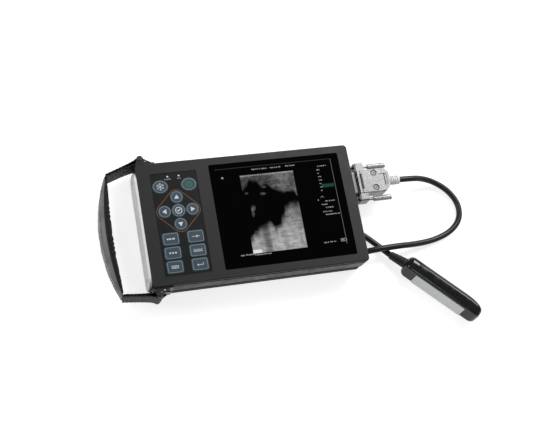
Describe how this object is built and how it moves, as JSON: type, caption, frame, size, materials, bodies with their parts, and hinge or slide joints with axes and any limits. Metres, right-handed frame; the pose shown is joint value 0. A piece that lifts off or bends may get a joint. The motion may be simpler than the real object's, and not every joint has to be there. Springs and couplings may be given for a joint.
{
  "type": "veterinary ultrasound scanner",
  "caption": "Hand-held veterinary ultrasound scanner with a screen, a keypad, a hand strap and a linear rectal probe on a plug-in lead.",
  "frame": {"origin": "on the table, in the middle of the footprint of scanner, strap, plug and probe", "axes": "+Z out of the screen, +X along the case from the strap to the plug, +Y towards the top edge of the screen"},
  "size_m": [0.3667, 0.1947, 0.0364],
  "materials": {
    "case_charcoal": "moulded, fine texture",
    "rubber_black": "matt",
    "side_silver": "satin",
    "screw_steel": "satin",
    "cover_charcoal": "moulded, fine texture",
    "display_gloss": "polished",
    "lcd_frame": "satin",
    "bracket_steel": "folded sheet",
    "board_green": "solder mask",
    "battery_wrap": "shrink wrap",
    "keypad_dark": "fine texture",
    "outline_orange": "printed line",
    "indicator_white": "clear tip",
    "silicone_grey": "matt",
    "key_slate": "satin, lighter rim",
    "socket_metal": "tin plated",
    "jack_black": "satin",
    "plug_metal": "satin plated",
    "insert_black": "satin",
    "pin_gold": "plated",
    "relief_white": "soft PVC",
    "lug_metal": "black, worn to steel at edges",
    "webbing_black": "woven",
    "grip_fabric": "smooth neoprene, stitched edge",
    "cable_black": "satin jacket",
    "probe_gloss": "polished",
    "lens_silver": "satin",
    "array_ceramic": "ceramic",
    "backing_grey": "filled epoxy"
  },
  "bodies": {
    "scanner": {"front_shell": "case_charcoal", "rear_shell": "case_charcoal", "shell_gasket": "rubber_black", "skid_rail_front": "rubber_black", "skid_rail_back": "rubber_black", "side_plate": "side_silver", "side_plate_screws": "screw_steel", "shell_screws": "screw_steel", "battery_cover_screws": "screw_steel", "lug_screws": "screw_steel", "strap_pins": "screw_steel", "battery_cover": "cover_charcoal", "lcd_window": "display_gloss", "lcd_module": "lcd_frame", "lcd_bracket": "bracket_steel", "main_board": "board_green", "keypad_board": "board_green", "battery_pack": "battery_wrap", "keypad_overlay": "keypad_dark", "keypad_outline": "outline_orange", "indicator_lenses": "indicator_white", "keypad_mat": "silicone_grey", "probe_socket": "socket_metal", "socket_jackposts": "socket_metal", "dc_jack": "jack_black", "strap_lug_upper": "lug_metal", "strap_lug_lower": "lug_metal", "webbing_upper": "webbing_black", "webbing_lower": "webbing_black", "strap_grip": "grip_fabric"},
    "key_freeze": {"key_freeze": "key_slate"},
    "key_power": {"key_power": "key_slate"},
    "key_up": {"key_up": "key_slate"},
    "key_left": {"key_left": "key_slate"},
    "key_ok": {"key_ok": "key_slate"},
    "key_right": {"key_right": "key_slate"},
    "key_down": {"key_down": "key_slate"},
    "key_function_1": {"key_function_1": "key_slate"},
    "key_function_2": {"key_function_2": "key_slate"},
    "key_function_3": {"key_function_3": "key_slate"},
    "key_function_4": {"key_function_4": "key_slate"},
    "key_function_5": {"key_function_5": "key_slate"},
    "key_function_6": {"key_function_6": "key_slate"},
    "probe_lead": {"plug_shell": "plug_metal", "plug_insert": "insert_black", "plug_pins": "pin_gold", "plug_hood_upper": "plug_metal", "plug_hood_lower": "plug_metal", "hood_screws": "screw_steel", "plug_strain_relief": "relief_white", "probe_cable": "cable_black", "probe_boot": "cable_black", "probe_shell_lens_side": "probe_gloss", "probe_shell_back": "probe_gloss", "probe_lens": "lens_silver", "transducer_array": "array_ceramic", "backing_block": "backing_grey"},
    "thumbscrew_upper": {"thumbscrew_upper": "plug_metal"},
    "thumbscrew_lower": {"thumbscrew_lower": "plug_metal"}
  },
  "joints": [
    {"name": "key_freeze_press", "type": "slide", "parent": "scanner", "child": "key_freeze", "axis": [0, 0, -1], "range_m": [0, 0.0008], "stiffness_N_per_m": 1200},
    {"name": "key_power_press", "type": "slide", "parent": "scanner", "child": "key_power", "axis": [0, 0, -1], "range_m": [0, 0.0008], "stiffness_N_per_m": 1200},
    {"name": "key_up_press", "type": "slide", "parent": "scanner", "child": "key_up", "axis": [0, 0, -1], "range_m": [0, 0.0008], "stiffness_N_per_m": 1200},
    {"name": "key_left_press", "type": "slide", "parent": "scanner", "child": "key_left", "axis": [0, 0, -1], "range_m": [0, 0.0008], "stiffness_N_per_m": 1200},
    {"name": "key_ok_press", "type": "slide", "parent": "scanner", "child": "key_ok", "axis": [0, 0, -1], "range_m": [0, 0.0008], "stiffness_N_per_m": 1200},
    {"name": "key_right_press", "type": "slide", "parent": "scanner", "child": "key_right", "axis": [0, 0, -1], "range_m": [0, 0.0008], "stiffness_N_per_m": 1200},
    {"name": "key_down_press", "type": "slide", "parent": "scanner", "child": "key_down", "axis": [0, 0, -1], "range_m": [0, 0.0008], "stiffness_N_per_m": 1200},
    {"name": "key_function_1_press", "type": "slide", "parent": "scanner", "child": "key_function_1", "axis": [0, 0, -1], "range_m": [0, 0.0008], "stiffness_N_per_m": 1200},
    {"name": "key_function_2_press", "type": "slide", "parent": "scanner", "child": "key_function_2", "axis": [0, 0, -1], "range_m": [0, 0.0008], "stiffness_N_per_m": 1200},
    {"name": "key_function_3_press", "type": "slide", "parent": "scanner", "child": "key_function_3", "axis": [0, 0, -1], "range_m": [0, 0.0008], "stiffness_N_per_m": 1200},
    {"name": "key_function_4_press", "type": "slide", "parent": "scanner", "child": "key_function_4", "axis": [0, 0, -1], "range_m": [0, 0.0008], "stiffness_N_per_m": 1200},
    {"name": "key_function_5_press", "type": "slide", "parent": "scanner", "child": "key_function_5", "axis": [0, 0, -1], "range_m": [0, 0.0008], "stiffness_N_per_m": 1200},
    {"name": "key_function_6_press", "type": "slide", "parent": "scanner", "child": "key_function_6", "axis": [0, 0, -1], "range_m": [0, 0.0008], "stiffness_N_per_m": 1200},
    {"name": "plug_pull", "type": "slide", "parent": "scanner", "child": "probe_lead", "axis": [1, 0, 0], "range_m": [0, 0.01]},
    {"name": "thumbscrew_upper_turn", "type": "hinge", "parent": "probe_lead", "child": "thumbscrew_upper", "pos_m": [0.0956, 0.0681, 0.018], "axis": [1, 0, 0], "continuous": true},
    {"name": "thumbscrew_lower_turn", "type": "hinge", "parent": "probe_lead", "child": "thumbscrew_lower", "pos_m": [0.0956, 0.0348, 0.018], "axis": [1, 0, 0], "continuous": true}
  ]
}
